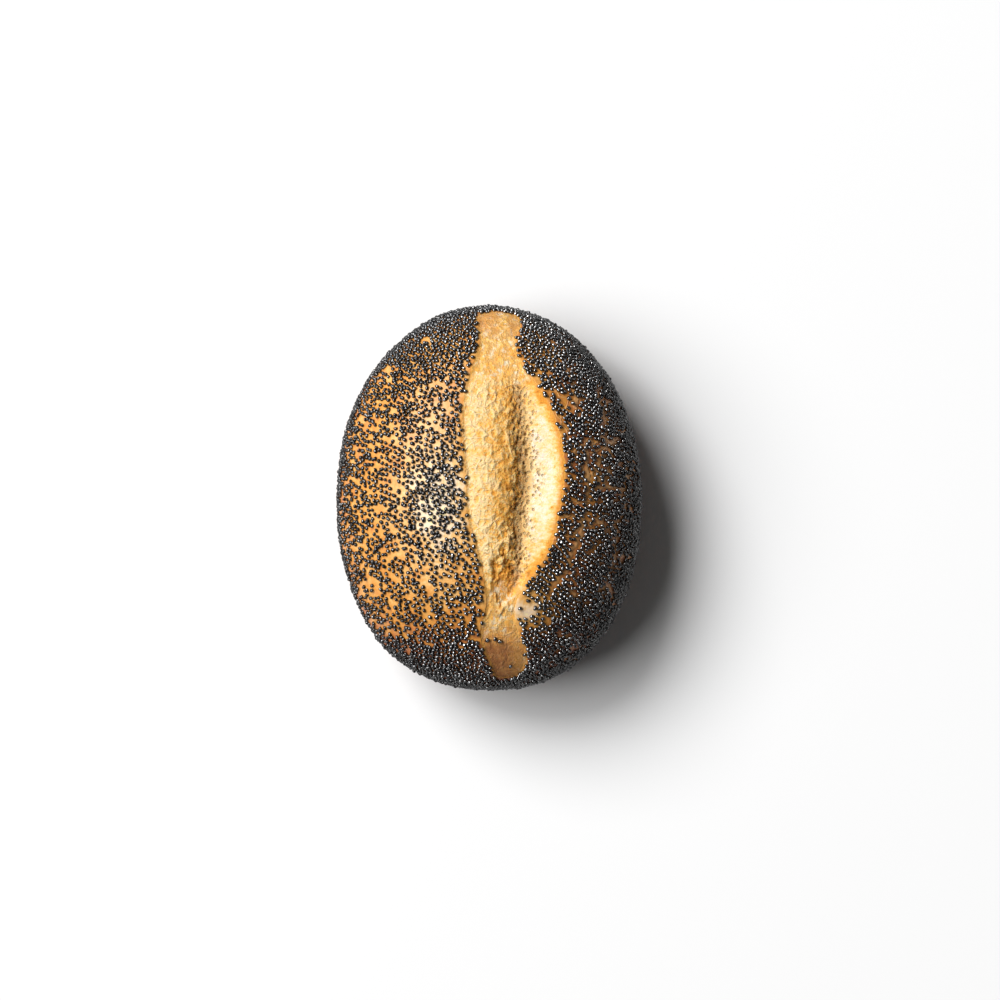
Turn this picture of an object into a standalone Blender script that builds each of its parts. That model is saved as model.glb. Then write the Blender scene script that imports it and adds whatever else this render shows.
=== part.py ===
"""Oval bread roll, baked as one piece and split along its top by one slanting cut.

Metres, +Z up. X runs across the roll, Y along it and along the cut, and the flat underside lies
on Z = 0 with its middle at the origin. The shape is a loft of closed rings, one for each station
along Y. Each ring goes from the middle of the underside up the right flank, across the cut and
down the left flank.
"""

import math

import bmesh
import bpy

# Driving dimensions of the baked body, without its seeds.
ROLL_LENGTH = 0.110
ROLL_WIDTH = 0.087
DOME_HEIGHT = 0.0515
WAIST_HEIGHT = 0.019  # where the roll is widest
BELLY_DEPTH = 0.0255  # how far the round belly would reach below the waist, were it not flat
FOOT_ROUNDING = 0.004  # how softly the belly turns into the flat underside

# Roundness of the superellipses: 2 is a true ellipse, and more is boxier.
PLAN_ROUNDNESS = 2.12
PLAN_TAPER = 0.13  # the far end, +Y, is a little more pointed than the near end
SECTION_ROUNDNESS = 2.2
END_ROUNDNESS = 2.3

# The cut seen from above: place along the half length, then its left edge and its lip as
# shares of the half width there.
CUT_PLAN = (
    (-1.00, 0.05, 0.46),
    (-0.90, 0.04, 0.45),
    (-0.79, -0.05, 0.38),
    (-0.68, -0.07, 0.25),
    (-0.56, -0.02, 0.20),
    (-0.40, -0.04, 0.31),
    (-0.24, -0.09, 0.42),
    (-0.08, -0.14, 0.46),
    (0.12, -0.15, 0.50),
    (0.32, -0.18, 0.49),
    (0.55, -0.18, 0.41),
    (0.66, -0.15, 0.32),
    (0.83, -0.11, 0.32),
    (0.94, -0.22, 0.57),
    (1.00, -0.24, 0.60),
)
# The cut's section where it is widest open: share of the way from the left edge to the lip,
# then the height above the dome. A low ridge of crumb, a groove, and the flap up to its lip.
CUT_SECTION = (
    (0.00, 0.0),
    (0.06, -0.0004),
    (0.28, 0.0008),
    (0.48, -0.0012),
    (0.65, -0.0052),
    (0.77, -0.0040),
    (0.90, -0.0004),
    (0.96, 0.0010),
    (1.00, 0.0012),
)
OPENING_MIDDLE = 0.08  # where the cut is widest open, as a share of the half length
OPENING_REACH = 0.62  # how far it stays open to each side of that
SCAR_DEPTH = 0.0007  # how far the closed ends of the cut lie below the crust around them
LIP_FADE = 0.006  # the raised lip dies out over about this distance on the crust

RINGS = 40
CUT_COLUMNS = 16  # quads across the cut
FLANK_COLUMNS = 15  # quads from the middle of the underside to an edge of the cut
CRUST_COLOUR = (0.55, 0.27, 0.07, 1.0)
CRUST_ROUGHNESS = 0.5


def clear_scene():
    for thing in list(bpy.data.objects):
        bpy.data.objects.remove(thing, do_unlink=True)


def through_points(points, at, column):
    """A smooth curve through the column's values of points, which are sorted by their first."""
    last = len(points) - 1
    i = 0
    while i < last - 1 and at > points[i + 1][0]:
        i += 1

    def slope(k):
        low, high = max(k - 1, 0), min(k + 1, last)
        return (points[high][column] - points[low][column]) / (points[high][0] - points[low][0])

    start, end = points[i], points[i + 1]
    span = end[0] - start[0]
    t = min(max((at - start[0]) / span, 0.0), 1.0)
    rise = end[column] - start[column]
    bend_in = slope(i) * span - rise
    bend_out = rise - slope(i + 1) * span
    return start[column] + rise * t + t * (1 - t) * (bend_in * (1 - t) + bend_out * t)


def superellipse(share, roundness):
    """The height of a unit superellipse at this share of its half width."""
    return (1 - min(abs(share), 1.0) ** roundness) ** (1 / roundness)


def half_width(along):
    return ROLL_WIDTH / 2 * superellipse(along, PLAN_ROUNDNESS - PLAN_TAPER * along)


def dome_rise(along):
    """Height of the dome over the waist, at the middle of this station."""
    return (DOME_HEIGHT - WAIST_HEIGHT) * superellipse(along, END_ROUNDNESS)


def on_table(height):
    """Flattens what would lie under Z = 0, with a soft turn at the foot."""
    overlap = max(FOOT_ROUNDING - abs(height), 0.0)
    return max(height, 0.0) + overlap**2 / (4 * FOOT_ROUNDING) * (height > -FOOT_ROUNDING)


def flank_point(along, angle):
    """A point of the round body, from -90 degrees at the underside to 90 at the crest."""
    power = 2 / SECTION_ROUNDNESS
    x = half_width(along) * math.copysign(abs(math.cos(angle)) ** power, math.cos(angle))
    lift = math.copysign(abs(math.sin(angle)) ** power, math.sin(angle))
    if lift > 0:
        return x, WAIST_HEIGHT + dome_rise(along) * lift
    return x, on_table(WAIST_HEIGHT + BELLY_DEPTH * superellipse(along, END_ROUNDNESS) * lift)


def angle_at(share):
    """The angle of flank_point at this share of the half width, on the upper side."""
    return math.acos(math.copysign(abs(share) ** (SECTION_ROUNDNESS / 2), share))


def opening(along):
    """1 where the cut is widest open and 0 where it has closed."""
    reach = min(abs(along - OPENING_MIDDLE) / OPENING_REACH, 1.0)
    return (1 - reach**2) ** 1.5


def cut_height(along, across):
    """Height above the dome at this share of the way from the cut's left edge to its lip."""
    share_open = opening(along)
    scar = SCAR_DEPTH * min(12 * across * (1 - across), 1.0)
    return share_open * through_points(CUT_SECTION, across, 1) - (1 - share_open) * scar


def lip_height(along, distance):
    """Height above the dome on the crust, this far outside the lip."""
    return opening(along) * CUT_SECTION[-1][1] * math.exp(-distance / LIP_FADE)


def ring_points(along):
    """The (x, z) places of one ring, once round from the middle of the underside."""
    left = through_points(CUT_PLAN, along, 1)
    lip = through_points(CUT_PLAN, along, 2)
    width = half_width(along)
    lip_angle, left_angle = angle_at(lip), angle_at(left)
    points = []
    for i in range(FLANK_COLUMNS):
        angle = -math.pi / 2 + (lip_angle + math.pi / 2) * i / FLANK_COLUMNS
        x, z = flank_point(along, angle)
        if angle > 0:
            z += lip_height(along, x - lip * width)
        points.append((x, z))
    for i in range(CUT_COLUMNS + 1):
        across = 1 - i / CUT_COLUMNS
        x, z = flank_point(along, angle_at(left + (lip - left) * across))
        points.append((x, z + cut_height(along, across)))
    for i in range(1, FLANK_COLUMNS):
        angle = left_angle + (3 * math.pi / 2 - left_angle) * i / FLANK_COLUMNS
        points.append(flank_point(along, angle))
    return points


def build_roll():
    """Lofts the rings from the near end to the far end and closes both ends with fans."""
    shape = bmesh.new()
    rings = []
    for i in range(1, RINGS):
        along = -math.cos(math.pi * i / RINGS)
        y = along * ROLL_LENGTH / 2
        rings.append([shape.verts.new((x, y, z)) for x, z in ring_points(along)])
    columns = len(rings[0])
    for near, far in zip(rings, rings[1:]):
        for a in range(columns):
            b = (a + 1) % columns
            shape.faces.new((near[a], near[b], far[b], far[a]))
    for ring, end in ((rings[0], -1), (rings[-1], 1)):
        tip = shape.verts.new((0, end * ROLL_LENGTH / 2, WAIST_HEIGHT))
        for a in range(columns):
            shape.faces.new((tip, ring[a], ring[(a + 1) % columns]))
    bmesh.ops.recalc_face_normals(shape, faces=shape.faces)
    mesh = bpy.data.meshes.new("bread_roll")
    shape.to_mesh(mesh)
    shape.free()
    mesh.shade_smooth()
    return mesh


def crust_material():
    material = bpy.data.materials.new("baked_crust")
    material.use_nodes = True
    surface = material.node_tree.nodes["Principled BSDF"]
    surface.inputs["Base Color"].default_value = CRUST_COLOUR
    surface.inputs["Roughness"].default_value = CRUST_ROUGHNESS
    surface.inputs["Metallic"].default_value = 0.0
    return material


clear_scene()
roll = bpy.data.objects.new("bread_roll", build_roll())
roll.data.materials.append(crust_material())
bpy.context.scene.collection.objects.link(roll)
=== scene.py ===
import math

import bmesh
import bpy
import numpy as np
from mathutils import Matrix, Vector


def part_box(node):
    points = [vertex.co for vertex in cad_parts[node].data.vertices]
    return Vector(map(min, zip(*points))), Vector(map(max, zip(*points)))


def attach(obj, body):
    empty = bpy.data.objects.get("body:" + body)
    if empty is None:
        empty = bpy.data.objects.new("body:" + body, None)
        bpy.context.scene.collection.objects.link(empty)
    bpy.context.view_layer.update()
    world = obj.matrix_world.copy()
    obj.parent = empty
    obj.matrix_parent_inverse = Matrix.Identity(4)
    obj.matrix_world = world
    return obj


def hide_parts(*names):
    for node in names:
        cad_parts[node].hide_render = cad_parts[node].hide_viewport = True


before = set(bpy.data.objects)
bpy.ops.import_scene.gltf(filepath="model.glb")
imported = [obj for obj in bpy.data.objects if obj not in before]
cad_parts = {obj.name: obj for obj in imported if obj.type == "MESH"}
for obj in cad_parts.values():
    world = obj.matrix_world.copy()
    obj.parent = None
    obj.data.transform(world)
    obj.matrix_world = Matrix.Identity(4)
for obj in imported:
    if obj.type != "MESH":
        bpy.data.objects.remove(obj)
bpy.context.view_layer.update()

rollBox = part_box("bread_roll")
print("frame loaded")

# All sizes are in metres unless a note says otherwise.

# The baked body, without its seeds. Roundness 2 is a true ellipse, and more is boxier.
bodyForm = {
    "waistHeight": 0.019,  # where the roll is widest
    "bellyDepth": 0.0255,  # how far the belly would reach below the waist, were it not flat
    "footRounding": 0.004,
    "crumbSwell": 0.00075,  # how far the crumb stands over the dome
    "planRoundness": 2.12,
    "planTaper": 0.13,  # the far end is a little more pointed
    "sectionRoundness": 2.2,
    "endRoundness": 2.3,
    "rings": 420,
    "cutColumns": 96,
    "upperColumns": 40,  # on each flank, from the cut to the waist
    "lowerColumns": 18,  # on each flank, from the waist to the middle of the underside
}

# The cut from end to end: place along the half length, its left edge and its lip as shares
# of the half width, and the groove as a share of the way from the edge to the lip.
cutPlan = [
    (-1.00, 0.05, 0.46, 0.62),
    (-0.90, 0.04, 0.45, 0.62),
    (-0.79, -0.05, 0.38, 0.66),
    (-0.68, -0.07, 0.25, 0.74),
    (-0.56, -0.02, 0.20, 0.76),
    (-0.40, -0.04, 0.31, 0.66),
    (-0.24, -0.09, 0.42, 0.55),
    (-0.08, -0.14, 0.46, 0.56),
    (0.12, -0.15, 0.50, 0.58),
    (0.32, -0.18, 0.49, 0.60),
    (0.55, -0.18, 0.41, 0.68),
    (0.66, -0.15, 0.32, 0.74),
    (0.83, -0.11, 0.32, 0.70),
    (0.94, -0.22, 0.57, 0.62),
    (1.00, -0.24, 0.60, 0.60),
]
# Its section where it is widest: share of the way across with the groove at 0.6, then the
# height above the dome.
cutSection = [
    (0.00, 0.0),
    (0.03, -0.0004),
    (0.10, 0.0003),
    (0.24, 0.0009),
    (0.40, 0.0002),
    (0.51, -0.0011),
    (0.58, -0.0024),
    (0.63, -0.0029),
    (0.72, -0.0023),
    (0.85, -0.0009),
    (0.96, 0.0006),
    (1.00, 0.0009),
]
cutForm = {
    "openingMiddle": 0.08,  # share of the half length
    "openingReach": 0.62,
    "scarDepth": 0.0003,
    "lipFade": 0.006,
    "nearEnd": -0.940,  # where the scars stop, as shares of the half length
    "farEnd": 0.972,
    "endRounding": 0.0022,  # how far they end sooner at their edges than in their middle
}
# Where the crumb tore out: middle and reach across and along, in millimetres.
tears = [
    {"middle": (5.0, -23.6), "reach": (4.4, 6.6)},
]
# The torn skin across the near end of the crumb, also in millimetres.
ledge = {"place": -31.4, "slant": 0.35, "waviness": 0.9, "width": 0.8}


def feed(tree, socket, value):
    if isinstance(value, bpy.types.NodeSocket):
        tree.links.new(value, socket)
    else:
        socket.default_value = value


def addNode(tree, kind, settings=None, **values):
    node = tree.nodes.new(kind)
    for name, value in (settings or {}).items():
        setattr(node, name, value)
    for name, value in values.items():
        feed(tree, node.inputs[name.replace("_", " ")], value)
    return node


def calc(tree, operation, *values):
    node = addNode(tree, "ShaderNodeMath", {"operation": operation})
    for socket, value in zip(node.inputs, values):
        feed(tree, socket, value)
    return node.outputs[0]


def vectorCalc(tree, operation, *values):
    node = addNode(tree, "ShaderNodeVectorMath", {"operation": operation})
    for socket, value in zip(node.inputs, values):
        feed(tree, socket, value)
    return node.outputs["Vector"]


def dot(tree, one, other):
    node = addNode(tree, "ShaderNodeVectorMath", {"operation": "DOT_PRODUCT"})
    feed(tree, node.inputs[0], one)
    feed(tree, node.inputs[1], other)
    return node.outputs["Value"]


def ease(tree, value, low, high, toLow=0.0, toHigh=1.0):
    node = addNode(tree, "ShaderNodeMapRange", {"interpolation_type": "SMOOTHSTEP"})
    for socket, given in zip(node.inputs, (value, low, high, toLow, toHigh)):
        feed(tree, socket, given)
    return node.outputs[0]


def noise(tree, vector, scale, detail=2.0, roughness=0.5, distortion=0.0):
    node = addNode(tree, "ShaderNodeTexNoise", Vector=vector, Scale=scale, Detail=detail,
                   Roughness=roughness, Distortion=distortion)
    return node.outputs[0]


def newTree(name, kind, inputs, outputs):
    tree = bpy.data.node_groups.new(name, kind)
    for label, socketKind, value in inputs:
        socket = tree.interface.new_socket(label, in_out="INPUT", socket_type=socketKind)
        if value is not None:
            socket.default_value = value
    for label, socketKind in outputs:
        tree.interface.new_socket(label, in_out="OUTPUT", socket_type=socketKind)
    return tree, tree.nodes.new("NodeGroupInput").outputs, tree.nodes.new("NodeGroupOutput")


# Places each node a column to the right of what feeds it.
def tidyTree(tree):
    depth = {node: 0 for node in tree.nodes}
    for _ in range(len(tree.nodes)):
        for link in tree.links:
            depth[link.to_node] = max(depth[link.to_node], depth[link.from_node] + 1)
        if max(depth.values()) > len(tree.nodes):
            break
    rows = {}
    for node in tree.nodes:
        row = rows.get(depth[node], 0)
        node.location = (depth[node] * 220, -row * 190)
        rows[depth[node]] = row + 1


# Evaluates a tree on an object with these inputs, and keeps the result as a plain mesh.
def bakeTree(thing, tree, values):
    modifier = thing.modifiers.new(tree.name, "NODES")
    modifier.node_group = tree
    for item in tree.interface.items_tree:
        if item.item_type == "SOCKET" and item.in_out == "INPUT" and item.name in values:
            modifier[item.identifier] = values[item.name]
    graph = bpy.context.evaluated_depsgraph_get()
    mesh = bpy.data.meshes.new_from_object(thing.evaluated_get(graph), depsgraph=graph)
    thing.modifiers.remove(modifier)
    return mesh


def addPiece(name, mesh):
    piece = bpy.data.objects.new(name, mesh)
    mesh.name = name
    bpy.context.scene.collection.objects.link(piece)
    return piece


def throughPoints(points, at, column):
    places = np.array([point[0] for point in points])
    values = np.array([point[column] for point in points])
    slopes = np.gradient(values, places)
    i = np.clip(np.searchsorted(places, at, "right") - 1, 0, len(places) - 2)
    span = places[i + 1] - places[i]
    t = np.clip((at - places[i]) / span, 0, 1)
    rise = values[i + 1] - values[i]
    bendIn = slopes[i] * span - rise
    bendOut = rise - slopes[i + 1] * span
    return values[i] + rise * t + t * (1 - t) * (bendIn * (1 - t) + bendOut * t)


def superellipse(share, roundness):
    return (1 - np.clip(np.abs(share), 0, 1) ** roundness) ** (1 / roundness)


def smooth(value, low, high):
    t = np.clip((value - low) / (high - low), 0, 1)
    return t * t * (3 - 2 * t)


def blob(x, y, middle, reach):
    return np.exp(-(((x - middle[0]) / reach[0]) ** 2) - ((y - middle[1]) / reach[1]) ** 2)


# The body is lofted from rings along Y. Each ring goes from the middle of the underside up
# the right flank, across the cut and down the left flank.
def layOutBody(low, high):
    form, halfLength, halfWidth = bodyForm, (high.y - low.y) / 2, (high.x - low.x) / 2
    waist = form["waistHeight"]
    domeRise = high.z - form["crumbSwell"] - waist
    fine = np.linspace(-1, 1, 4001)
    crest = domeRise * superellipse(fine, form["endRoundness"])
    steps = np.hypot(np.diff(fine * halfLength), np.diff(crest))
    travel = np.concatenate([[0], np.cumsum(steps)])
    stations = np.linspace(0, travel[-1], form["rings"] + 1)[1:-1]
    along = np.interp(stations, travel, fine)[:, None]
    width = halfWidth * superellipse(along, form["planRoundness"] - form["planTaper"] * along)
    ends = superellipse(along, form["endRoundness"])

    left = throughPoints(cutPlan, along, 1)
    lip = throughPoints(cutPlan, along, 2)

    def angleAt(share):
        return np.arccos(np.sign(share) * np.abs(share) ** (form["sectionRoundness"] / 2))

    lipAngle, leftAngle = angleAt(lip), angleAt(left)
    lower = np.linspace(0, 1, form["lowerColumns"], endpoint=False)[None, :]
    upper = np.linspace(0, 1, form["upperColumns"], endpoint=False)[None, :]
    acrossCut = np.linspace(1, 0, form["cutColumns"] + 1)[None, :]
    shareInCut = left + (lip - left) * acrossCut
    angle = np.concatenate([
        -math.pi / 2 + math.pi / 2 * lower + 0 * along,
        lipAngle * upper,
        angleAt(shareInCut),
        (leftAngle + (math.pi - leftAngle) * upper)[:, 1:],
        math.pi + math.pi / 2 * lower + 0 * along,
    ], axis=1)
    flank = lower.size + upper.size
    across = np.concatenate([
        np.full(flank, 1.0), acrossCut[0], np.full(angle.shape[1] - flank - acrossCut.size, 0.0)
    ])[None, :]

    power = 2 / form["sectionRoundness"]
    x = width * np.sign(np.cos(angle)) * np.abs(np.cos(angle)) ** power
    lift = np.sign(np.sin(angle)) * np.abs(np.sin(angle)) ** power
    belly = waist + form["bellyDepth"] * ends * lift
    foot = form["footRounding"]
    overlap = np.maximum(foot - np.abs(belly), 0)
    belly = np.maximum(belly, 0) + overlap**2 / (4 * foot) * (belly > -foot)
    z = np.where(lift > 0, waist + domeRise * ends * lift, belly)

    reach = np.clip(np.abs(along - cutForm["openingMiddle"]) / cutForm["openingReach"], 0, 1)
    opening = (1 - reach**2) ** 1.5
    groove = throughPoints(cutPlan, along, 3)
    section = np.where(across < groove, 0.6 * across / groove,
                       0.6 + 0.4 * (across - groove) / (1 - groove))
    inCut = opening * throughPoints(cutSection, section, 1)
    scar = cutForm["scarDepth"] * np.minimum(12 * across * (1 - across), 1)
    outside = (angle > 0) & (angle < lipAngle)
    lipLift = cutSection[-1][1] * np.exp(-np.maximum(x - lip * width, 0) / cutForm["lipFade"])
    between = (across > 0) & (across < 1) | (np.abs(angle - lipAngle) < 1e-9)
    z = z + np.where(between, inCut - (1 - opening) * scar, 0) + outside * opening * lipLift

    y = along * halfLength + 0 * x
    fromEnds = np.minimum(
        np.interp(cutForm["farEnd"], fine, travel) - stations,
        stations - np.interp(cutForm["nearEnd"], fine, travel),
    )[:, None]
    fromEnds = fromEnds - cutForm["endRounding"] * (2 * across - 1) ** 2
    facingUp = lift > 0
    inside = np.where(facingUp, np.minimum(x - left * width, lip * width - x), -0.02)
    facts = {
        "cutInside": np.minimum(inside, fromEnds),  # distance into the cut from its edge
        "lipInside": np.where(facingUp, lip * width - x, -0.02),
        "section": section,
        "opening": opening,
        "steepness": 1 - np.clip(lift, 0, 1) * ends,
    }
    return x, y, z, {name: fact + 0 * x for name, fact in facts.items()}


# Places on the crust that differ from the rest, in millimetres seen from above: their middle,
# their reach across and along, and how much they change what is around them.
browningPlaces = [
    {"middle": (-14, -2), "reach": (9, 17), "change": -0.36},
    {"middle": (10, -32), "reach": (6.5, 4.5), "change": -0.31},
]
seedPlaces = [
    {"middle": (-13, 4), "reach": (7, 12), "change": 0.10},
    {"middle": (10.5, -32), "reach": (6, 4.5), "change": -0.42},
    {"middle": (-27, 4), "reach": (5, 16), "change": -0.10},
    {"middle": (17, 32), "reach": (9, 12), "change": -0.16},
    {"middle": (-24, -26), "reach": (12, 12), "change": -0.12},
]
strayPlace = {"middle": (-2, -44), "reach": (4, 4), "change": 0.28}  # a few seeds in the near scar
bakingForm = {
    "browning": 0.40,  # 0 is the palest crust and 1 the darkest
    "seedCover": 0.69,  # half is a loose, even spread, and 1 is seed against seed
    "nearToast": 0.85,  # how much browner the near scar is than the open crumb
    "farToast": 0.5,
    "bareFoot": (2.5, 7.5),  # the seeds thin out between these heights, in millimetres
}


def changeAt(mmX, mmY, places):
    return sum(place["change"] * blob(mmX, mmY, place["middle"], place["reach"]) for place in places)


# Where the crust is browner, and where the seeds lie thickly.
def bakeFacts(x, y, z, facts):
    mmX, mmY, mmZ = x * 1000, y * 1000, z * 1000
    steep = facts["steepness"]
    browning = (
        bakingForm["browning"]
        + changeAt(mmX, mmY, browningPlaces)
        + 0.13 * smooth(mmX, 12, 26)
        + 0.12 * smooth(steep, 0.45, 0.9)
        + 0.20 * smooth(-mmY, 28, 48)
        - 0.10 * smooth(12 - mmZ, 0, 8)
    )
    seedCover = (
        bakingForm["seedCover"]
        + changeAt(mmX, mmY, seedPlaces)
        + 0.17 * smooth(mmX, 4, 11)
        + 0.26 * smooth(steep, 0.42, 0.72) * smooth(mmX, -20, 10)
        - 0.10 * smooth(steep, 0.25, 0.6) * smooth(-mmX, 12, 26)
        + 0.20 * smooth(mmY, 26, 44)
        + 0.26 * smooth(-mmY, 34, 50)
    )
    inside = facts["cutInside"]
    seedCover = np.clip(seedCover, 0.15, 1.0) * smooth(-inside, -2e-4, 1e-4)
    stray = 0.06 * smooth(-mmY, 36, 42) + changeAt(mmX, mmY, [strayPlace])
    seedCover = np.maximum(seedCover, stray * smooth(inside, 0, 1e-3))
    seedCover = seedCover * smooth(mmZ, *bakingForm["bareFoot"])
    paleStreak = np.exp(-(((mmX - 4.3) / 1.5) ** 2))
    toast = bakingForm["nearToast"] * smooth(-mmY, 33, 44) * (1 - 0.45 * smooth(mmX, 5, 11))
    toast = toast + bakingForm["farToast"] * smooth(mmY, 43, 49) * (1 - 0.85 * paleStreak)
    torn = np.full_like(x, 9.0)
    for tear in tears:
        (midX, midY), (reachX, reachY) = tear["middle"], tear["reach"]
        torn = np.minimum(torn, np.hypot((mmX - midX) / reachX, (mmY - midY) / reachY))
    bend = ledge["place"] + ledge["slant"] * (mmX - 4) + ledge["waviness"] * np.sin(mmX * 1.7)
    skin = np.exp(-(((mmY - bend) / ledge["width"]) ** 2)) * smooth(inside, 0, 1e-3)
    wrinkled = smooth(mmX, 13, 25) * smooth(mmZ, 4, 10)
    return {**facts, "browning": browning, "seedCover": seedCover, "toast": toast,
            "wrinkled": wrinkled, "tearReach": torn, "ledge": skin}


def buildBody():
    x, y, z, facts = layOutBody(*rollBox)
    facts = bakeFacts(x, y, z, facts)
    rings, columns = x.shape
    points = np.stack([x, y, z], axis=2).reshape(-1, 3)
    waist = bodyForm["waistHeight"]
    tips = [(0, rollBox[0].y, waist), (0, rollBox[1].y, waist)]
    ring = np.arange(columns)
    after = (ring + 1) % columns
    start = (np.arange(rings - 1) * columns)[:, None]
    quads = np.stack([start + ring, start + after, start + columns + after,
                      start + columns + ring], axis=2).reshape(-1, 4)
    near, far, last = rings * columns, rings * columns + 1, (rings - 1) * columns
    caps = [(near, b, a) for a, b in zip(ring, after)]
    caps += [(far, last + a, last + b) for a, b in zip(ring, after)]
    mesh = bpy.data.meshes.new("bakedBody")
    mesh.from_pydata(points.tolist() + tips, [], quads[:, ::-1].tolist() + [c[::-1] for c in caps])
    for name, fact in facts.items():
        ends = [fact[0, columns // 2], fact[-1, columns // 2]]
        layer = mesh.attributes.new(name, "FLOAT", "POINT")
        layer.data.foreach_set("value", np.concatenate([fact.ravel(), ends]).astype(np.float32))
    mesh.shade_smooth()
    return mesh


base = addPiece("bodyForm", buildBody())
shape = bmesh.new()
shape.from_mesh(base.data)
bmesh.ops.recalc_face_normals(shape, faces=shape.faces)
shape.to_mesh(base.data)
shape.free()
print("body laid out:", len(base.data.polygons), "faces")

# What baking did to the smooth form: heights, and the width of one feature of each kind.
reliefForm = {
    "Lump height": 0.0007,
    "Lump width": 0.028,
    "Blister height": 0.00008,
    "Fold height": 0.0004,
    "Fold width": 0.0055,
    "Cell depth": 0.0005,
    "Cell width": 0.0018,
    "Small cell depth": 0.00038,
    "Small cell width": 0.0010,
    "Strand height": 0.00012,
    "Strand width": 0.0008,
    "Pore depth": 0.0009,
    "Pore width": 0.0013,
    "Tear depth": 0.0011,
    "Ledge height": 0.0006,
}


# Displaces the body along its normals, and stores what the colours need: how high the crumb
# stands at each place, and how deep a pore or a tear it is in.
def reliefTree():
    inputs = [("Geometry", "NodeSocketGeometry", None), ("Finish", "NodeSocketMaterial", None)]
    inputs += [(name, "NodeSocketFloat", value) for name, value in reliefForm.items()]
    tree, given, result = newTree("crumbRelief", "GeometryNodeTree", inputs,
                                  [("Geometry", "NodeSocketGeometry")])
    place = tree.nodes.new("GeometryNodeInputPosition").outputs[0]
    outward = tree.nodes.new("GeometryNodeInputNormal").outputs[0]

    def fact(name):
        node = addNode(tree, "GeometryNodeInputNamedAttribute", {"data_type": "FLOAT"}, Name=name)
        return node.outputs["Attribute"]

    def product(*values):
        total = values[0]
        for value in values[1:]:
            total = calc(tree, "MULTIPLY", total, value)
        return total

    def bent(scale, amount):
        pushed = addNode(tree, "ShaderNodeTexNoise", Vector=place, Scale=scale, Detail=3)
        return vectorCalc(tree, "MULTIPLY_ADD", pushed.outputs[1], (amount, amount, amount), place)

    # Bowls with a thin wall between them, some deep and some shallow.
    def bowls(width, stretch, scale, amount):
        cells = addNode(tree, "ShaderNodeTexVoronoi", {"feature": "F1"},
                        Vector=vectorCalc(tree, "MULTIPLY", bent(scale, amount), stretch),
                        Scale=calc(tree, "DIVIDE", 1, width))
        away = cells.outputs["Distance"]
        share = addNode(tree, "ShaderNodeSeparateXYZ", Vector=cells.outputs["Color"]).outputs[0]
        bowl = calc(tree, "MULTIPLY_ADD", product(away, away), 2.4, -0.55)
        return product(bowl, calc(tree, "MULTIPLY_ADD", share, 0.8, 0.35))

    def wave(width, stretch, detail=2.0):
        value = noise(tree, vectorCalc(tree, "MULTIPLY", place, stretch),
                      calc(tree, "DIVIDE", 1, width), detail, 0.6)
        return calc(tree, "MULTIPLY_ADD", value, 2, -1)

    section, opening = fact("section"), fact("opening")
    crumb = ease(tree, fact("cutInside"), -0.0001, 0.0007)
    unevenly = calc(tree, "MULTIPLY_ADD", wave(0.006, (1, 1, 1), 3), 0.16, opening)
    wide = product(crumb, ease(tree, unevenly, 0.02, 0.30))
    bulk = product(wide, ease(tree, section, 0.64, 0.52))
    flap = product(wide, ease(tree, section, 0.58, 0.7))
    fromGroove = calc(tree, "ABSOLUTE", calc(tree, "SUBTRACT", section, 0.60))
    groove = product(wide, ease(tree, fromGroove, 0.15, 0.03))

    lumps = product(wave(given["Lump width"], (1, 1, 1), 1), given["Lump height"])
    blisters = product(wave(0.003, (1, 1, 1)), given["Blister height"])

    rough = ease(tree, wave(0.007, (1, 0.8, 1)), -0.35, 0.35, 0.45, 1.0)
    rough = product(rough, ease(tree, section, 0.0, 0.34, 0.45, 1.0))
    large = product(bowls(given["Cell width"], (0.9, 0.9, 0.8), 260, 0.0025), given["Cell depth"])
    small = product(bowls(given["Small cell width"], (1, 0.8, 1), 700, 0.0010),
                    given["Small cell depth"])
    strands = calc(tree, "ABSOLUTE", wave(given["Strand width"], (0.7, 1, 1), 3))
    strands = product(calc(tree, "MULTIPLY_ADD", strands, -2.2, 0.5), given["Strand height"])
    folds = product(wave(given["Fold width"], (1, 0.7, 1), 3), given["Fold height"])
    torn = calc(tree, "ADD", calc(tree, "ADD", large, small), calc(tree, "ADD", strands, folds))
    relief = product(torn, bulk, rough)
    relief = calc(tree, "ADD", relief, product(strands, flap, 0.2))

    cells = addNode(tree, "ShaderNodeTexVoronoi", {"feature": "F1"},
                    Vector=vectorCalc(tree, "MULTIPLY", bent(600, 0.0012), (1, 0.75, 1)),
                    Scale=calc(tree, "DIVIDE", 1, given["Pore width"]))
    hole = ease(tree, cells.outputs["Distance"], 0.46, 0.16)
    hole = product(hole, ease(tree, wave(0.0035, (1, 0.7, 1)), -0.45, 0.0), groove)
    pore = product(hole, given["Pore depth"])

    # The tears have a ragged rim.
    reach = calc(tree, "MULTIPLY_ADD", wave(0.0030, (1, 1, 1), 4), 0.9, fact("tearReach"))
    tear = product(ease(tree, reach, 1.2, 0.8), ease(tree, fact("cutInside"), 0.0006, 0.0035))
    skin = product(fact("ledge"), ease(tree, wave(0.0022, (1, 1, 1), 3), -0.4, 0.5))

    height = calc(tree, "SUBTRACT", calc(tree, "ADD", relief, calc(tree, "ADD", lumps, blisters)), pore)
    height = calc(tree, "SUBTRACT", height, product(tear, given["Tear depth"]))
    height = calc(tree, "ADD", height, product(skin, given["Ledge height"]))
    upright = addNode(tree, "ShaderNodeSeparateXYZ", Vector=place).outputs[2]
    height = product(height, ease(tree, upright, 0.002, 0.009))

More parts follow.
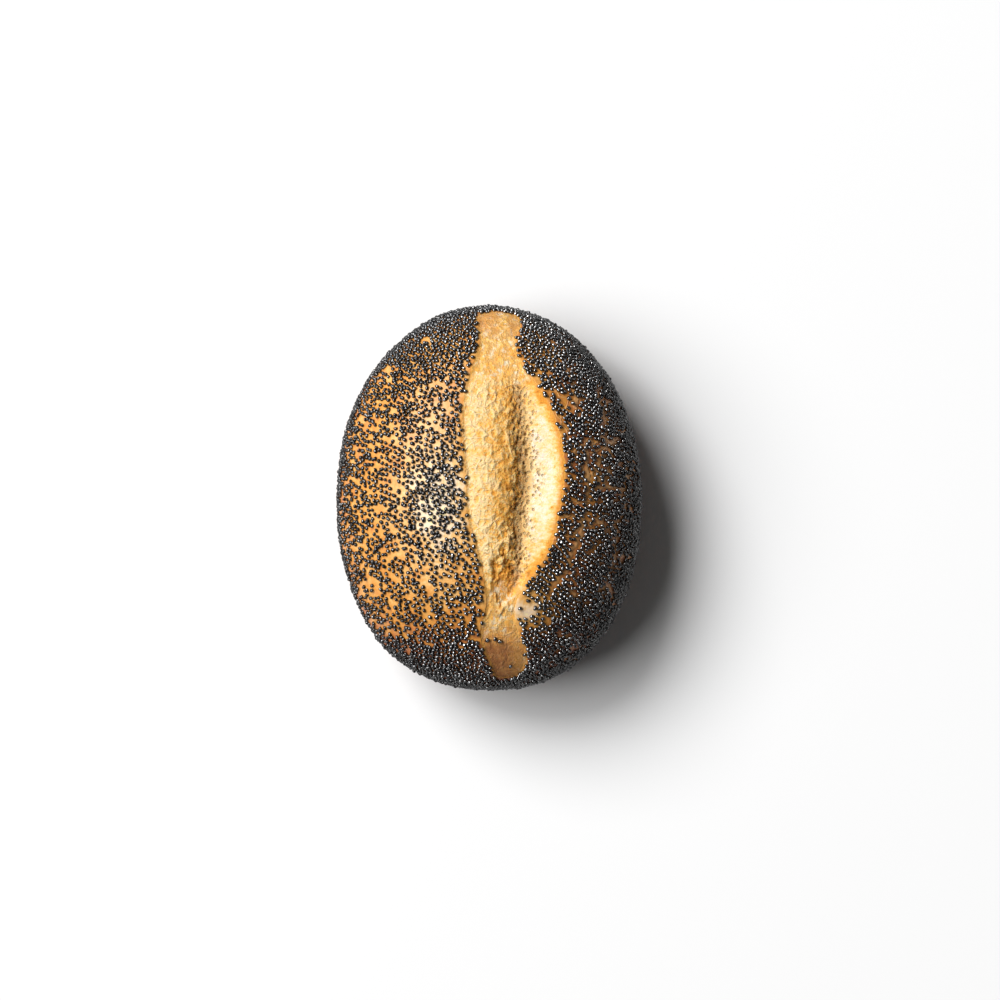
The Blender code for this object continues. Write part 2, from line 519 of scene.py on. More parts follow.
    geometry = given["Geometry"]
    stored = {"crumbLift": product(relief, 1000), "pore": hole, "tear": tear, "skin": skin}
    for name, value in stored.items():
        store = addNode(tree, "GeometryNodeStoreNamedAttribute",
                        {"data_type": "FLOAT", "domain": "POINT"}, Geometry=geometry, Name=name)
        feed(tree, store.inputs["Value"], value)
        geometry = store.outputs[0]
    moved = addNode(tree, "GeometryNodeSetPosition", Geometry=geometry)
    offset = addNode(tree, "ShaderNodeVectorMath", {"operation": "SCALE"})
    feed(tree, offset.inputs[0], outward)
    feed(tree, offset.inputs["Scale"], height)
    feed(tree, moved.inputs["Offset"], offset.outputs[0])
    solid = addNode(tree, "GeometryNodeRealizeInstances", Geometry=moved.outputs[0])
    finished = addNode(tree, "GeometryNodeSetMaterial", Geometry=solid.outputs[0],
                       Material=given["Finish"])
    feed(tree, result.inputs[0], finished.outputs[0])
    tidyTree(tree)
    return tree


# How the seeds lie. Smallest and largest are shares of the seed's own size.
seedSpread = {
    "Close spacing": 0.00110,
    "Loose spacing": 0.00136,
    "Tries": 2.4e7,  # per square metre
    "Clump width": 0.0036,
    "Vein width": 0.0115,
    "Vein gap": 0.00020,
    "Smallest": 0.88,
    "Largest": 1.12,
    "Lean": 0.6,  # radians
    "Rise": 0.00030,  # how far the middle of a seed stands above the crust
    "Seed": 7,
}

# Colours run from the palest crust to the darkest, by how brown it is baked.
crustTones = {
    0.0: (0.95, 0.76, 0.37),
    0.07: (0.84, 0.63, 0.45),
    0.14: (0.86, 0.60, 0.34),
    0.25: (0.79, 0.43, 0.13),
    0.42: (0.69, 0.29, 0.05),
    0.58: (0.54, 0.18, 0.05),
    0.72: (0.43, 0.125, 0.05),
    1.0: (0.14, 0.05, 0.02),
}
wrinkleTone = (0.74, 0.42, 0.17)
# From the hollows of the crumb to its crests. The hollows are darker and more orange, partly the crumb's own
# colour and partly painted shade.
crumbTones = {
    0.0: (0.38, 0.13, 0.015),
    0.28: (0.78, 0.32, 0.04),
    0.52: (0.92, 0.50, 0.12),
    0.78: (0.90, 0.67, 0.34),
    1.0: (0.89, 0.75, 0.58),
}


# How far each thing moves the crumb's tone up or down its colours.
crumbTone = {
    "start": 0.56,
    # Lift pales the crests and darkens the dips, partly as painted shade.
    "lift": 0.46,  # for each millimetre that the relief stands out
    "walls": 0.10,
    "grain": 0.75,
    "ridge": 0.09,
    "web": 0.26,
    "towardsGroove": -0.22,
    "flap": 0.60,
    "flapStreaks": 1.1,
    "nearLip": -0.34,
    "flapEnds": -0.26,
    "blotches": 0.42,
    "flecks": -0.30,
    "tear": -0.24,
    "skin": 0.35,
}
# Heights in metres that are too fine for the mesh.
crumbBump = {
    "fine": 0.0005,
    "strands": -0.0008,
    "walls": 0.00009,
    "grain": 0.0003,
    "web": 0.00025,
    "dryFlecks": -0.00015,
    "holes": -0.0004,
}
# Stains of the crumb, and the colours of its painted shade in the pores and along the groove.
crumbStainsAndShade = {
    "poreShade": (0.44, 0.27, 0.115),
    "groove": (0.62, 0.45, 0.23),
    "dry": (0.60, 0.34, 0.11),
    "pale": (0.86, 0.76, 0.55),
    "toasted": (0.62, 0.28, 0.075),
    "dark": (0.29, 0.11, 0.04),
    "lip": (0.80, 0.32, 0.04),
    "edge": (0.72, 0.36, 0.07),
}


def ramp(tree, value, tones):
    node = addNode(tree, "ShaderNodeValToRGB", Fac=value)
    stops = node.color_ramp.elements
    for stop in range(len(tones) - 2):
        stops.new(0.5)
    for stop, (place, colour) in zip(stops, sorted(tones.items())):
        stop.position = place
        stop.color = (*colour, 1)
    return node.outputs[0]


def blend(tree, amount, under, over):
    node = addNode(tree, "ShaderNodeMix", {"data_type": "RGBA"})
    feed(tree, node.inputs[0], amount)
    for socket, value in ((node.inputs[6], under), (node.inputs[7], over)):
        feed(tree, socket, (*value, 1) if isinstance(value, tuple) else value)
    return node.outputs[2]


def useGroup(tree, group, **values):
    node = addNode(tree, "ShaderNodeGroup", {"node_tree": group})
    for name, value in values.items():
        feed(tree, node.inputs[name], value)
    return node.outputs


# Long creases of the right flank, seen from above in millimetres: their ends, how far each
# bows out, and how far the seeds stay away from it.
creases = [
    {"start": (27.0, 16.0), "end": (16.5, -28.0), "bow": 5.0, "bare": 0.62},
    {"start": (21.0, 38.0), "end": (25.0, 23.0), "bow": 1.0, "bare": 0.5},
    {"start": (28.5, 13.0), "end": (39.0, 19.5), "bow": -1.0, "bare": 0.45},
    {"start": (30.5, 3.0), "end": (41.0, 1.5), "bow": 0.8, "bare": 0.45},
    {"start": (36.0, -8.0), "end": (33.0, -24.0), "bow": 1.5, "bare": 0.45},
]


# Distance from the wrinkles of the crust, which the seeds leave bare: a net of fine ones, and
# the long creases.
def veinDistance(tree, place, width):
    push = 0.0035
    pushed = addNode(tree, "ShaderNodeTexNoise", Vector=place, Scale=240, Detail=2)
    pushed = vectorCalc(tree, "MULTIPLY_ADD", pushed.outputs[1], (push, push, push), place)
    veins = addNode(tree, "ShaderNodeTexVoronoi", {"feature": "DISTANCE_TO_EDGE"},
                    Vector=pushed, Scale=calc(tree, "DIVIDE", 1, width))
    nearest = calc(tree, "MULTIPLY", veins.outputs["Distance"], width)
    for crease in creases:
        ends = (crease["start"], crease["end"])
        start, end = (Vector((x + push * 500, y + push * 500, 0)) / 1000 for x, y in ends)
        run = end - start
        sideways = Vector((-run.y, run.x, 0)).normalized()
        fromStart = vectorCalc(tree, "SUBTRACT", pushed, tuple(start))
        share = calc(tree, "DIVIDE", dot(tree, fromStart, tuple(run)), run.length_squared)
        bow = calc(tree, "MULTIPLY", calc(tree, "MULTIPLY", share, calc(tree, "SUBTRACT", 1, share)), 4)
        aside = calc(tree, "MULTIPLY_ADD", bow, -crease["bow"] / 1000, dot(tree, fromStart, tuple(sideways)))
        beyond = calc(tree, "SUBTRACT", calc(tree, "ABSOLUTE", calc(tree, "SUBTRACT", share, 0.5)), 0.5)
        beyond = calc(tree, "MULTIPLY", calc(tree, "MAXIMUM", beyond, 0), run.length)
        away = calc(tree, "ADD", calc(tree, "ABSOLUTE", aside), beyond)
        # Seeds keep about 0.22 mm from what this gives, so a crease counts as nearer than it is.
        nearest = calc(tree, "MINIMUM", nearest, calc(tree, "MULTIPLY", away, 0.22 / crease["bare"]))
    return nearest


def crustGroup():
    tree, given, result = newTree(
        "crustTones", "ShaderNodeTree",
        [("Vector", "NodeSocketVector", None), ("Browning", "NodeSocketFloat", 0.5),
         ("Wrinkled", "NodeSocketFloat", 0.0), ("Mottle", "NodeSocketFloat", 0.55)],
        [("Colour", "NodeSocketColor"), ("Height", "NodeSocketFloat")])
    broad = noise(tree, given["Vector"], 260, 3)
    fine = noise(tree, given["Vector"], 1100, 3)
    broad = calc(tree, "SUBTRACT", broad, 0.5)
    fine = calc(tree, "SUBTRACT", fine, 0.5)
    spots = calc(tree, "MULTIPLY_ADD", broad, given["Mottle"], given["Browning"])
    spots = calc(tree, "MULTIPLY_ADD", fine, calc(tree, "MULTIPLY", given["Mottle"], 0.6), spots)
    fromVein = veinDistance(tree, given["Vector"], seedSpread["Vein width"])
    wrinkle = calc(tree, "MULTIPLY", ease(tree, fromVein, 0.0003, 0.00005), given["Wrinkled"])
    shown = calc(tree, "MULTIPLY", wrinkle, 0.7)
    feed(tree, result.inputs[0], blend(tree, shown, ramp(tree, spots, crustTones), wrinkleTone))
    grain = calc(tree, "MULTIPLY", noise(tree, given["Vector"], 1300, 4), 0.00012)
    feed(tree, result.inputs[1], calc(tree, "MULTIPLY_ADD", wrinkle, 0.0002, grain))
    tidyTree(tree)
    return tree


def crumbGroup():
    tree, given, result = newTree(
        "crumbTones", "ShaderNodeTree",
        [("Vector", "NodeSocketVector", None), ("Lift", "NodeSocketFloat", 0.0),
         ("Section", "NodeSocketFloat", 0.5), ("Opening", "NodeSocketFloat", 1.0),
         ("Edge", "NodeSocketFloat", 0.01), ("Lip", "NodeSocketFloat", 0.01),
         ("Pore", "NodeSocketFloat", 0.0), ("Tear", "NodeSocketFloat", 0.0),
         ("Skin", "NodeSocketFloat", 0.0), ("Toast", "NodeSocketFloat", 0.0)],
        [("Colour", "NodeSocketColor"), ("Height", "NodeSocketFloat")])
    vector = given["Vector"]

    def centred(scale, detail=3, stretch=(1, 1, 1)):
        value = noise(tree, vectorCalc(tree, "MULTIPLY", vector, stretch), scale, detail, 0.65)
        return calc(tree, "SUBTRACT", value, 0.5)

    # Cells of the crumb: away from the middle of one, and from the walls between them.
    def cells(kind, scale, push):
        pushed = addNode(tree, "ShaderNodeTexNoise", Vector=vector, Scale=500, Detail=3)
        pushed = vectorCalc(tree, "MULTIPLY_ADD", pushed.outputs[1], (push, push, push), vector)
        node = addNode(tree, "ShaderNodeTexVoronoi", {"feature": kind}, Vector=pushed, Scale=scale)
        return node.outputs["Distance"]

    rough = ease(tree, noise(tree, vector, 240, 2), 0.38, 0.62, 0.3, 1.3)
    walls = calc(tree, "ADD", ease(tree, cells("DISTANCE_TO_EDGE", 780, 0.0010), 0.30, 0.03),
                 ease(tree, cells("DISTANCE_TO_EDGE", 1500, 0.0007), 0.28, 0.03, 0, 0.7))
    web = ease(tree, cells("DISTANCE_TO_EDGE", 340, 0.0016), 0.13, 0.02)
    web = calc(tree, "MULTIPLY", web, ease(tree, noise(tree, vector, 130, 2), 0.42, 0.6))
    holes = ease(tree, cells("F1", 900, 0.0004), 0.48, 0.26)

    wide = ease(tree, calc(tree, "MULTIPLY_ADD", centred(170, 4), 0.35, given["Opening"]), 0.02, 0.3)
    closed = calc(tree, "SUBTRACT", 1, wide)
    flap = calc(tree, "MULTIPLY", ease(tree, given["Section"], 0.60, 0.72), wide)
    bulk = calc(tree, "MULTIPLY", ease(tree, given["Section"], 0.66, 0.50), wide)
    towardsGroove = calc(tree, "MULTIPLY", ease(tree, given["Section"], 0.12, 0.46), wide)
    strands = calc(tree, "ABSOLUTE", centred(800, 4, (0.7, 1, 1)))
    streaks = centred(700, 4, (0.7, 1.3, 1))
    flecks = ease(tree, centred(720, 3), 0.11, 0.2)
    inBand = calc(tree, "ABSOLUTE", calc(tree, "SUBTRACT", given["Section"], 0.63))
    inBand = calc(tree, "MULTIPLY_ADD", centred(260, 3), 0.3, inBand)
    holes = calc(tree, "MULTIPLY", holes, calc(tree, "MULTIPLY", ease(tree, inBand, 0.20, 0.07), wide))
    unevenWalls = calc(tree, "MULTIPLY", bulk, rough)
    grain = calc(tree, "MULTIPLY", centred(480, 5), bulk)
    web = calc(tree, "MULTIPLY", web, calc(tree, "MAXIMUM", bulk, calc(tree, "MULTIPLY", closed, 0.5)))
    fromLip = calc(tree, "MULTIPLY_ADD", centred(420, 4, (0.7, 1, 1)), 0.0080, given["Lip"])
    flapEnds = calc(tree, "MULTIPLY_ADD", centred(200, 4), 0.9, given["Opening"])
    flapEnds = calc(tree, "MULTIPLY", ease(tree, flapEnds, 0.95, 0.35), flap)

    # Each step adds one thing at its strength.
    steps = [
        # Like the lift, the grain, web, walls and strands pale what stands out and darken the dips, partly
        # as painted shade.
        (given["Lift"], crumbTone["lift"]),
        (calc(tree, "SUBTRACT", walls, 0.45), calc(tree, "MULTIPLY", unevenWalls, crumbTone["walls"])),
        (grain, crumbTone["grain"]),
        (bulk, crumbTone["ridge"]),
        (web, crumbTone["web"]),
        (towardsGroove, crumbTone["towardsGroove"]),
        (centred(520, 4, (1, 0.6, 1)), ease(tree, wide, 0, 1, 0.9, 0)),
        (strands, ease(tree, wide, 0, 1, -0.7, -0.8)),
        (flap, crumbTone["flap"]),
        (streaks, calc(tree, "MULTIPLY", flap, crumbTone["flapStreaks"])),
        (ease(tree, fromLip, 0.0036, 0.0008), calc(tree, "MULTIPLY", wide, crumbTone["nearLip"])),
        (flapEnds, crumbTone["flapEnds"]),
        (centred(1500, 3), ease(tree, flap, 0, 1, 0.5, 0.25)),
        (centred(300, 3), crumbTone["blotches"]),
        (flecks, crumbTone["flecks"]),
        (given["Tear"], crumbTone["tear"]),
        (given["Skin"], crumbTone["skin"]),
    ]
    tone = crumbTone["start"]
    for value, strength in steps:
        tone = calc(tree, "MULTIPLY_ADD", value, strength, tone)
    cap = calc(tree, "MULTIPLY_ADD", towardsGroove, -0.13, 0.80)
    tone = calc(tree, "MINIMUM", tone, calc(tree, "MULTIPLY_ADD", flap, 0.42, cap))
    colour = ramp(tree, tone, crumbTones)

    # Lays one of these colours over the crumb: a stain, or painted shade.
    def stainAndShade(amount, name):
        return blend(tree, amount, colour, crumbStainsAndShade[name])

    # Pores and holes are painted darker: painted shade in the recesses.
    pores = calc(tree, "MULTIPLY", given["Pore"], 0.7)
    colour = stainAndShade(calc(tree, "MAXIMUM", pores, calc(tree, "MULTIPLY", holes, 0.8)), "poreShade")
    # A greyer brown band along the groove: painted shade.
    shade = calc(tree, "ABSOLUTE", calc(tree, "SUBTRACT", given["Section"], 0.625))
    shade = calc(tree, "MULTIPLY_ADD", centred(520, 4), 0.22, shade)
    shade = calc(tree, "MULTIPLY", ease(tree, shade, 0.10, 0.02), wide)
    colour = stainAndShade(calc(tree, "MULTIPLY", shade, 0.6), "groove")
    # The closed ends are drier, with darker flecks drawn out along the cut.
    dry = ease(tree, centred(700, 5, (1.3, 0.6, 1)), -0.08, 0.10, 0.0, 0.8)
    dry = calc(tree, "MULTIPLY", dry, closed)
    colour = stainAndShade(dry, "dry")
    pale = ease(tree, centred(520, 4, (1, 0.7, 1)), 0.0, 0.13, 0.0, 0.75)
    colour = stainAndShade(calc(tree, "MULTIPLY", pale, closed), "pale")
    streaky = calc(tree, "MULTIPLY", centred(800, 4, (1, 0.4, 1)), 0.8)
    streaky = calc(tree, "ADD", centred(190, 3), streaky)
    toast = calc(tree, "MULTIPLY_ADD", streaky, 0.9, given["Toast"])
    toast = calc(tree, "MULTIPLY", toast, ease(tree, given["Toast"], 0.0, 0.12))
    colour = stainAndShade(ease(tree, toast, 0.02, 0.6, 0, 0.85), "toasted")
    colour = stainAndShade(ease(tree, toast, 0.45, 1.0, 0, 0.9), "dark")
    rim = calc(tree, "MULTIPLY_ADD", centred(420, 4, (0.6, 1, 1)), 0.0030, given["Lip"])
    rim = calc(tree, "MULTIPLY", ease(tree, rim, 0.0016, 0.0003), wide)
    colour = stainAndShade(calc(tree, "MULTIPLY", rim, 0.9), "lip")
    hem = calc(tree, "MULTIPLY_ADD", centred(420, 3), 0.0010, given["Edge"])
    colour = stainAndShade(ease(tree, hem, 0.0010, 0.0001, 0, 0.7), "edge")
    feed(tree, result.inputs[0], colour)

    height = calc(tree, "MULTIPLY_ADD", centred(2300, 3), crumbBump["fine"],
                  calc(tree, "MULTIPLY", strands, crumbBump["strands"]))
    height = calc(tree, "MULTIPLY", height, ease(tree, bulk, 0, 1, 0.45, 1))
    steps = [
        (walls, calc(tree, "MULTIPLY", unevenWalls, crumbBump["walls"])),
        (grain, crumbBump["grain"]),
        (web, crumbBump["web"]),
        (dry, crumbBump["dryFlecks"]),
        (holes, crumbBump["holes"]),
    ]
    for value, strength in steps:
        height = calc(tree, "MULTIPLY_ADD", value, strength, height)
    feed(tree, result.inputs[1], height)
    tidyTree(tree)
    return tree


bakedSurface = {
    "raggedEdge": 0.0010,  # how far the edge between crust and crumb wanders
    "crustRoughness": 0.42,
    "crumbRoughness": 0.8,
    "crustShine": 0.5,
    "crumbShine": 0.15,
    "crumbGlow": 0.35,  # share of the light that goes through the crumb
    "glowDepth": 0.0006,
}


def bakedMaterial():
    look = bakedSurface
    material = bpy.data.materials.new("bakedDough")
    material.use_nodes = True
    tree = material.node_tree
    surface = tree.nodes["Principled BSDF"]
    place = tree.nodes.new("ShaderNodeTexCoord").outputs["Object"]

    def fact(name):
        return addNode(tree, "ShaderNodeAttribute", {"attribute_name": name}).outputs["Fac"]

    # The mask is 0 on the crust and 1 on the crumb.
    wander = calc(tree, "SUBTRACT", noise(tree, place, 500, 3, 0.6), 0.5)
    wander = calc(tree, "MULTIPLY_ADD", wander, look["raggedEdge"], fact("cutInside"))
    mask = ease(tree, wander, -0.0001, 0.0002)
    crust = useGroup(tree, crustGroup(), Vector=place, Browning=fact("browning"),
                     Wrinkled=fact("wrinkled"))
    crumb = useGroup(tree, crumbGroup(), Vector=place, Lift=fact("crumbLift"), Section=fact("section"),
                     Opening=fact("opening"), Edge=fact("cutInside"), Lip=fact("lipInside"),
                     Pore=fact("pore"), Tear=fact("tear"), Skin=fact("skin"), Toast=fact("toast"))
    feed(tree, surface.inputs["Base Color"], blend(tree, mask, crust["Colour"], crumb["Colour"]))
    for name, crustKey, crumbKey in (("Roughness", "crustRoughness", "crumbRoughness"),
                                     ("Specular IOR Level", "crustShine", "crumbShine")):
        feed(tree, surface.inputs[name], ease(tree, mask, 0, 1, look[crustKey], look[crumbKey]))
    height = addNode(tree, "ShaderNodeMix", {"data_type": "FLOAT"})
    feed(tree, height.inputs[0], mask)
    feed(tree, height.inputs[2], crust["Height"])
    feed(tree, height.inputs[3], crumb["Height"])
    bump = addNode(tree, "ShaderNodeBump", Height=height.outputs[0], Distance=1.0)
    feed(tree, surface.inputs["Normal"], bump.outputs[0])
    feed(tree, surface.inputs["Subsurface Weight"], calc(tree, "MULTIPLY", mask, look["crumbGlow"]))
    surface.inputs["Subsurface Radius"].default_value = (1.0, 0.6, 0.4)
    surface.inputs["Subsurface Scale"].default_value = look["glowDepth"]
    tidyTree(tree)
    return material


roll = addPiece("roll", bakeTree(base, reliefTree(), {**reliefForm, "Finish": bakedMaterial()}))
bpy.data.objects.remove(base)
print("crust and crumb baked")

# One poppy seed lying flat: a blunt kidney, notched on one long side.
seedShape = {
    "length": 0.00142,
    "width": 0.00122,
    "thickness": 0.00104,
    "notch": 0.2,  # this and the bend are shares of the seed's size
    "bend": 0.10,
}
# The skin of a seed is a fine net, which breaks its shine up and swallows it seen edge on.
seedSkin = {
    "lightBending": 2.15,
    "netDensity": 1500,
    "netDepth": 0.00028,
    "edgeShine": 0.04,  # share of the shine that is left edge on
    "leftShine": 0.4,  # share of it that is left on the left flank, where the light lies flat
}
seedTones = {
    "blackSeeds": {"share": 0.30, "colour": (0.003, 0.003, 0.0035), "roughness": 0.19},
    "blueSeeds": {"share": 0.22, "colour": (0.005, 0.006, 0.008), "roughness": 0.15},
    "slateSeeds": {"share": 0.24, "colour": (0.010, 0.011, 0.013), "roughness": 0.22},
    "brownSeeds": {"share": 0.24, "colour": (0.010, 0.006, 0.004), "roughness": 0.17},
}


def makeSeed():
    shape = bmesh.new()
    bmesh.ops.create_uvsphere(shape, u_segments=8, v_segments=4, radius=0.5)
    for point in shape.verts:
        x, y, z = point.co
        dent = seedShape["notch"] * math.exp(-((x / 0.2) ** 2)) * max(-y, 0) * 2
        y = y + dent - seedShape["bend"] * x * x * 2
        point.co = (x * seedShape["length"], y * seedShape["width"], z * seedShape["thickness"])
    mesh = bpy.data.meshes.new("poppySeed")
    shape.to_mesh(mesh)
    shape.free()
    mesh.shade_smooth()
    return mesh


def seedTree():
    inputs = [("Geometry", "NodeSocketGeometry", None), ("Shape", "NodeSocketObject", None),
              ("Finish", "NodeSocketMaterial", None),
              ("From tone", "NodeSocketFloat", 0.0), ("To tone", "NodeSocketFloat", 1.0)]
    inputs += [(name, "NodeSocketInt" if name == "Seed" else "NodeSocketFloat", value)
               for name, value in seedSpread.items()]
    tree, given, result = newTree("poppySeeds", "GeometryNodeTree", inputs,
                                  [("Geometry", "NodeSocketGeometry")])

    def chance(low, high, offset):
        node = addNode(tree, "FunctionNodeRandomValue", {"data_type": "FLOAT"},
                       Seed=calc(tree, "ADD", given["Seed"], offset))
        feed(tree, node.inputs[2], low)
        feed(tree, node.inputs[3], high)
        return node.outputs[1]

    place = tree.nodes.new("GeometryNodeInputPosition").outputs[0]
    cover = addNode(tree, "GeometryNodeInputNamedAttribute", {"data_type": "FLOAT"}, Name="seedCover")
    cover = cover.outputs["Attribute"]
    clumps = noise(tree, place, calc(tree, "DIVIDE", 1, given["Clump width"]), 2, 0.6)
    limit = ease(tree, cover, 0.5, 1.0, 0.36, 0.74)
    crowded = calc(tree, "LESS_THAN", clumps, limit)
    fromVein = veinDistance(tree, place, given["Vein width"])
    wrinkled = addNode(tree, "GeometryNodeInputNamedAttribute", {"data_type": "FLOAT"}, Name="wrinkled")
    wrinkled = wrinkled.outputs["Attribute"]
    gap = calc(tree, "MULTIPLY", given["Vein gap"], calc(tree, "ADD", wrinkled, 0.12))
    bare = calc(tree, "MULTIPLY", calc(tree, "LESS_THAN", fromVein, gap), 0.85)
    tone = chance(0.0, 1.0, 2)
    ours = calc(tree, "MULTIPLY", calc(tree, "GREATER_THAN", tone, given["From tone"]),
                calc(tree, "LESS_THAN", tone, given["To tone"]))

    # The close spread stays where the seeds crowd, and the loose one everywhere else.
    def spread(spacing, wanted, offset):
        points = addNode(tree, "GeometryNodeDistributePointsOnFaces", {"distribute_method": "POISSON"},
                         Mesh=given["Geometry"], Distance_Min=spacing, Density_Max=given["Tries"],
                         Seed=calc(tree, "ADD", given["Seed"], offset))
        turned = addNode(tree, "GeometryNodeStoreNamedAttribute",
                         {"data_type": "QUATERNION", "domain": "POINT"},
                         Geometry=points.outputs["Points"], Name="facing")
        feed(tree, turned.inputs["Value"], points.outputs["Rotation"])
        score = calc(tree, "MULTIPLY", calc(tree, "SUBTRACT", 1, bare), wanted)
        kept = calc(tree, "GREATER_THAN", score, chance(0.0, 0.999, 1))
        kept = calc(tree, "MULTIPLY", kept, ours)
        thinned = addNode(tree, "GeometryNodeDeleteGeometry", {"domain": "POINT"},
                          Geometry=turned.outputs[0], Selection=calc(tree, "SUBTRACT", 1, kept))
        return thinned.outputs[0]

    close = calc(tree, "MULTIPLY", crowded, calc(tree, "GREATER_THAN", cover, 0.5))
    loose = calc(tree, "MULTIPLY", calc(tree, "SUBTRACT", 1, close),
                 calc(tree, "MULTIPLY", cover, 1.34))
    both = tree.nodes.new("GeometryNodeJoinGeometry")
    for spacing, wanted, offset in ((given["Close spacing"], close, 0), (given["Loose spacing"], loose, 11)):
        tree.links.new(spread(spacing, wanted, offset), both.inputs[0])
    facing = addNode(tree, "GeometryNodeInputNamedAttribute", {"data_type": "QUATERNION"}, Name="facing")
    facing = facing.outputs["Attribute"]
    normal = addNode(tree, "FunctionNodeRotateVector", Vector=(0, 0, 1), Rotation=facing).outputs[0]

    lift = calc(tree, "MULTIPLY", given["Rise"], chance(0.6, 1.4, 3))
    piled = calc(tree, "MULTIPLY", calc(tree, "LESS_THAN", chance(0.0, 1.0, 4), 0.12), 0.0003)
    lift = calc(tree, "MULTIPLY_ADD", piled, cover, lift)
    offset = addNode(tree, "ShaderNodeVectorMath", {"operation": "SCALE"})
    feed(tree, offset.inputs[0], normal)
    feed(tree, offset.inputs["Scale"], lift)
    raised = addNode(tree, "GeometryNodeSetPosition", Geometry=both.outputs[0],
                     Offset=offset.outputs[0])
    lean = calc(tree, "MULTIPLY", given["Lean"], calc(tree, "ADD", cover, 0.4))
    turn = addNode(tree, "ShaderNodeCombineXYZ", X=calc(tree, "MULTIPLY", lean, chance(-1.0, 1.0, 5)),
                   Y=calc(tree, "MULTIPLY", lean, chance(-1.0, 1.0, 6)), Z=chance(0.0, 6.2832, 7))
    turn = addNode(tree, "FunctionNodeEulerToRotation", Euler=turn.outputs[0])
    turned = addNode(tree, "FunctionNodeRotateRotation", {"rotation_space": "LOCAL"},
                     Rotation=facing, Rotate_By=turn.outputs[0])
    shape = addNode(tree, "GeometryNodeObjectInfo", Object=given["Shape"])
    sown = addNode(tree, "GeometryNodeInstanceOnPoints", Points=raised.outputs[0],
                   Instance=shape.outputs["Geometry"], Rotation=turned.outputs[0],
                   Scale=chance(given["Smallest"], given["Largest"], 8))
    solid = addNode(tree, "GeometryNodeRealizeInstances", Geometry=sown.outputs[0])
    finished = addNode(tree, "GeometryNodeSetMaterial", Geometry=solid.outputs[0],
                       Material=given["Finish"])
    feed(tree, result.inputs[0], finished.outputs[0])
    tidyTree(tree)
    return tree


def plainMaterial(name, colour, roughness, lightBending=1.5):
    material = bpy.data.materials.new(name)
    material.use_nodes = True
    surface = material.node_tree.nodes["Principled BSDF"]
    surface.inputs["Base Color"].default_value = (*colour, 1)
    surface.inputs["Roughness"].default_value = roughness
    surface.inputs["IOR"].default_value = lightBending
    return material


def seedMaterial(name, look):
    material = plainMaterial(name, look["colour"], look["roughness"], seedSkin["lightBending"])
    tree = material.node_tree
    surface = tree.nodes["Principled BSDF"]
    place = tree.nodes.new("ShaderNodeTexCoord").outputs["Object"]
    net = noise(tree, place, seedSkin["netDensity"], 2)
    bump = addNode(tree, "ShaderNodeBump", Height=net, Distance=seedSkin["netDepth"])
    feed(tree, surface.inputs["Normal"], bump.outputs[0])
    facing = addNode(tree, "ShaderNodeLayerWeight", Blend=0.5).outputs["Facing"]
    shine = ease(tree, facing, 0.15, 0.55, 1.0, seedSkin["edgeShine"])
    right = addNode(tree, "ShaderNodeSeparateXYZ", Vector=place).outputs[0]
    shine = calc(tree, "MULTIPLY", shine, ease(tree, right, -0.03, 0.012, seedSkin["leftShine"], 1.0))
    feed(tree, surface.inputs["Specular IOR Level"], shine)
    tidyTree(tree)
    return material


seedModel = addPiece("poppySeed", makeSeed())
sowing, sown, toneStart = seedTree(), [], 0.0
for name, look in seedTones.items():
    values = {"Shape": seedModel, "Finish": seedMaterial(name, look),
              "From tone": toneStart, "To tone": toneStart + look["share"], **seedSpread}
    seeds = addPiece(name, bakeTree(roll, sowing, values))
    toneStart += look["share"]
    sown.append(seeds)
    print(name, len(seeds.data.polygons) // len(seedModel.data.polygons), "seeds")
bpy.data.objects.remove(seedModel)

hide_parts("bread_roll")
for piece in [roll, *sown]:
    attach(piece, "root")

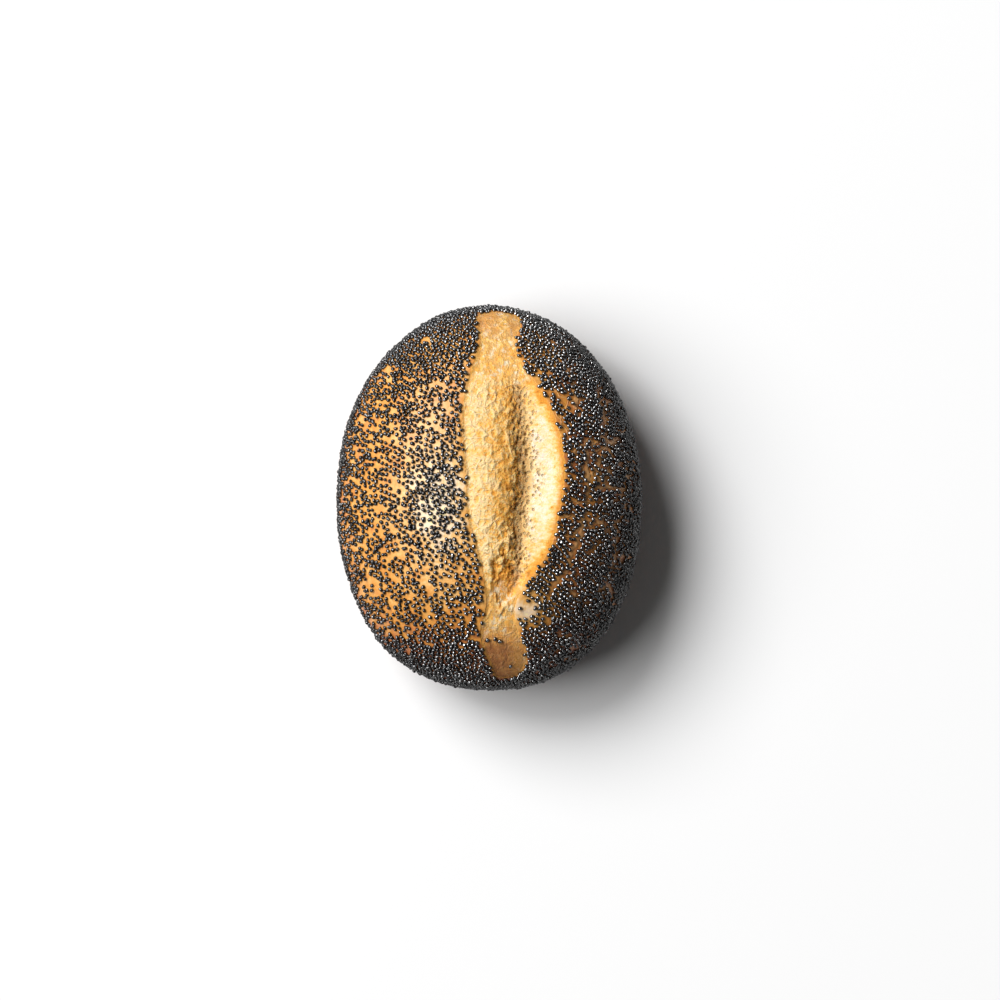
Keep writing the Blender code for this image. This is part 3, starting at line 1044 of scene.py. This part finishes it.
studio = {
    "floorReach": 4.0,
    "floorDrop": 0.0001,  # so that the underside and the floor don't share a plane
    "floorColour": (0.8, 0.8, 0.8),
    "skyLight": 0.07,
    "skyShine": 0.03,  # what shiny things see of the sky
    "lens": 124,
    "cameraPlace": (0.0032, -0.0006, 1.019),  # straight above the roll
}
# Directions are an azimuth and an elevation in degrees.
studioLights = [
    {"name": "key", "direction": (136, 45), "distance": 8.0, "size": 4.3, "power": 630},
    {"name": "window", "direction": (174, 48), "distance": 8.0, "size": 6.1, "power": 520},
]

reach, drop = studio["floorReach"], studio["floorDrop"]
corners = [(reach * x, reach * y, -drop) for x, y in ((-1, -1), (1, -1), (1, 1), (-1, 1))]
floorMesh = bpy.data.meshes.new("floor")
floorMesh.from_pydata(corners, [], [(0, 1, 2, 3)])
floor = addPiece("floor", floorMesh)
floor.data.materials.append(plainMaterial("paleFloor", studio["floorColour"], 0.6))


def areaLight(name, direction, distance, size, power):
    data = bpy.data.lights.new(name, "AREA")
    data.shape = "DISK"
    data.size = size
    data.energy = power
    light = bpy.data.objects.new(name, data)
    azimuth, elevation = (math.radians(a) for a in direction)
    away = Vector((math.cos(azimuth) * math.cos(elevation), math.sin(azimuth) * math.cos(elevation),
                   math.sin(elevation)))
    light.location = away * distance
    light.rotation_euler = away.to_track_quat("Z", "Y").to_euler()
    bpy.context.scene.collection.objects.link(light)


for light in studioLights:
    areaLight(**light)
world = bpy.data.worlds.new("studio")
bpy.context.scene.world = world
world.use_nodes = True
sky = world.node_tree.nodes["Background"]
sky.inputs["Color"].default_value = (1, 1, 1, 1)
ray = addNode(world.node_tree, "ShaderNodeLightPath").outputs
dim = ease(world.node_tree, ray["Is Glossy Ray"], 0, 1, studio["skyLight"], studio["skyShine"])
bright = calc(world.node_tree, "MAXIMUM", ray["Is Camera Ray"], dim)
feed(world.node_tree, sky.inputs["Strength"], bright)
bpy.context.scene.view_settings.view_transform = "Standard"

cameraData = bpy.data.cameras.new("overhead")
cameraData.lens = studio["lens"]
camera = bpy.data.objects.new("overhead", cameraData)
camera.location = studio["cameraPlace"]
bpy.context.scene.collection.objects.link(camera)
bpy.context.scene.camera = camera
